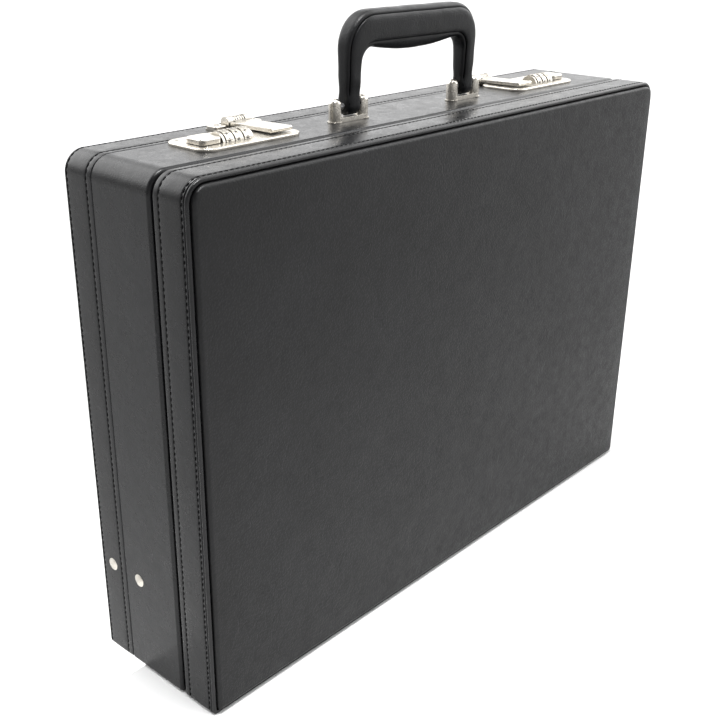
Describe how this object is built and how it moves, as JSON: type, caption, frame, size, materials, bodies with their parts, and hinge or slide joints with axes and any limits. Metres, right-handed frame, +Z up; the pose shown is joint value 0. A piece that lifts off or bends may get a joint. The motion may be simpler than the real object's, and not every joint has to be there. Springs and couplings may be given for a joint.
{
  "type": "expandable attache case",
  "caption": "Hard black leather attache case with an expanding front section, hinged lid, folding padded handle and combination locks.",
  "frame": {"origin": "middle of the case at floor level, under the middle of the closed case's box", "axes": "+X along the case to the right as seen from the front panel, +Y from the expanding front section towards the lid, +Z up; the case stands on its hinge edge with the handle on top"},
  "size_m": [0.4592, 0.104, 0.3817],
  "materials": {
    "case_leather": "semi-gloss fine grain",
    "panel_leather": "semi-gloss fine grain",
    "piping_leather": "semi-gloss smooth",
    "handle_leather": "semi-gloss fine grain",
    "pocket_leather": "satin",
    "lining_cloth": "suede",
    "sleeve_board": "matte leathercloth",
    "nickel": "satin nickel",
    "dial_metal": "satin nickel",
    "plain_steel": "zinc plated",
    "handle_core": "plain"
  },
  "bodies": {
    "base": {"base_frame": "case_leather", "base_lining": "lining_cloth", "slide_studs": "nickel", "hinge_leaf_base": "plain_steel", "hinge_pin": "plain_steel", "hinge_screws_base": "plain_steel", "stay_rivets_base": "nickel", "handle_bracket_left": "nickel", "handle_bracket_right": "nickel", "handle_pins": "plain_steel", "bracket_plates": "plain_steel", "bracket_nuts": "plain_steel", "lock_plate_left": "nickel", "lock_plate_right": "nickel", "lock_case_left": "plain_steel", "lock_case_right": "plain_steel", "lock_screws": "nickel", "dial_axles": "plain_steel"},
    "expander": {"expander_frame": "case_leather", "expander_panel": "panel_leather", "expander_piping": "piping_leather", "expander_sleeve": "sleeve_board", "expander_lining": "lining_cloth", "slide_plates": "plain_steel"},
    "lid": {"lid_frame": "case_leather", "lid_panel": "panel_leather", "lid_lining": "lining_cloth", "lid_pocket": "pocket_leather", "card_pockets": "pocket_leather", "pen_loops": "pocket_leather", "hinge_leaf_lid": "plain_steel", "hinge_screws_lid": "plain_steel", "stay_rivets_lid": "nickel", "hasp_pins": "plain_steel", "strike_left": "nickel", "strike_right": "nickel", "strike_screws": "nickel"},
    "handle": {"handle_cover": "handle_leather", "handle_core": "handle_core"},
    "stay_lower_left": {"stay_lower_left": "nickel", "stay_elbow_left": "nickel"},
    "stay_lower_right": {"stay_lower_right": "nickel", "stay_elbow_right": "nickel"},
    "stay_upper_left": {"stay_upper_left": "nickel"},
    "stay_upper_right": {"stay_upper_right": "nickel"},
    "hasp_left": {"hasp_left": "nickel"},
    "hasp_right": {"hasp_right": "nickel"},
    "button_left": {"lock_button_left": "nickel", "lock_slide_left": "plain_steel"},
    "button_right": {"lock_button_right": "nickel", "lock_slide_right": "plain_steel"},
    "dial_left_outer": {"dial_left_outer": "dial_metal"},
    "dial_left_middle": {"dial_left_middle": "dial_metal"},
    "dial_left_inner": {"dial_left_inner": "dial_metal"},
    "dial_right_inner": {"dial_right_inner": "dial_metal"},
    "dial_right_middle": {"dial_right_middle": "dial_metal"},
    "dial_right_outer": {"dial_right_outer": "dial_metal"}
  },
  "joints": [
    {"name": "lid_hinge", "type": "hinge", "parent": "base", "child": "lid", "pos_m": [0, 0.0272, 0.0021], "axis": [-1, 0, 0], "range_deg": [0, 97]},
    {"name": "expansion_slide", "type": "slide", "parent": "base", "child": "expander", "axis": [0, -1, 0], "range_m": [0, 0.02]},
    {"name": "handle_pivot", "type": "hinge", "parent": "base", "child": "handle", "pos_m": [0, 0.0033, 0.327], "axis": [-1, 0, 0], "range_deg": [-86, 86]},
    {"name": "stay_lower_left_pivot", "type": "hinge", "parent": "base", "child": "stay_lower_left", "pos_m": [-0.2214, 0.0143, 0.0645], "axis": [-1, 0, 0], "range_deg": [0, 98]},
    {"name": "stay_upper_left_pivot", "type": "hinge", "parent": "lid", "child": "stay_upper_left", "pos_m": [-0.2199, 0.0401, 0.0645], "axis": [-1, 0, 0], "range_deg": [-98, 0]},
    {"name": "stay_lower_right_pivot", "type": "hinge", "parent": "base", "child": "stay_lower_right", "pos_m": [0.2214, 0.0143, 0.0645], "axis": [-1, 0, 0], "range_deg": [0, 98]},
    {"name": "stay_upper_right_pivot", "type": "hinge", "parent": "lid", "child": "stay_upper_right", "pos_m": [0.2199, 0.0401, 0.0645], "axis": [-1, 0, 0], "range_deg": [-98, 0]},
    {"name": "hasp_left_pivot", "type": "hinge", "parent": "lid", "child": "hasp_left", "pos_m": [-0.1215, 0.034, 0.3217], "axis": [-1, 0, 0], "range_deg": [0, 90]},
    {"name": "hasp_right_pivot", "type": "hinge", "parent": "lid", "child": "hasp_right", "pos_m": [0.1215, 0.034, 0.3217], "axis": [-1, 0, 0], "range_deg": [0, 90]},
    {"name": "button_left_slide", "type": "slide", "parent": "base", "child": "button_left", "axis": [-1, 0, 0], "range_m": [0, 0.003], "stiffness_N_per_m": 400, "springref_m": -0.002},
    {"name": "button_right_slide", "type": "slide", "parent": "base", "child": "button_right", "axis": [1, 0, 0], "range_m": [0, 0.003], "stiffness_N_per_m": 400, "springref_m": -0.002},
    {"name": "dial_left_outer_turn", "type": "hinge", "parent": "base", "child": "dial_left_outer", "pos_m": [-0.1581, 0.0045, 0.3183], "axis": [1, 0, 0], "continuous": true},
    {"name": "dial_left_middle_turn", "type": "hinge", "parent": "base", "child": "dial_left_middle", "pos_m": [-0.1515, 0.0045, 0.3183], "axis": [1, 0, 0], "continuous": true},
    {"name": "dial_left_inner_turn", "type": "hinge", "parent": "base", "child": "dial_left_inner", "pos_m": [-0.1449, 0.0045, 0.3183], "axis": [1, 0, 0], "continuous": true},
    {"name": "dial_right_inner_turn", "type": "hinge", "parent": "base", "child": "dial_right_inner", "pos_m": [0.1449, 0.0045, 0.3183], "axis": [1, 0, 0], "continuous": true},
    {"name": "dial_right_middle_turn", "type": "hinge", "parent": "base", "child": "dial_right_middle", "pos_m": [0.1515, 0.0045, 0.3183], "axis": [1, 0, 0], "continuous": true},
    {"name": "dial_right_outer_turn", "type": "hinge", "parent": "base", "child": "dial_right_outer", "pos_m": [0.1581, 0.0045, 0.3183], "axis": [1, 0, 0], "continuous": true}
  ],
  "couplings": [
    {"joint": "stay_lower_left_pivot", "follows": "lid_hinge", "ratio": 1},
    {"joint": "stay_upper_left_pivot", "follows": "lid_hinge", "ratio": -1},
    {"joint": "stay_lower_right_pivot", "follows": "lid_hinge", "ratio": 1},
    {"joint": "stay_upper_right_pivot", "follows": "lid_hinge", "ratio": -1}
  ]
}
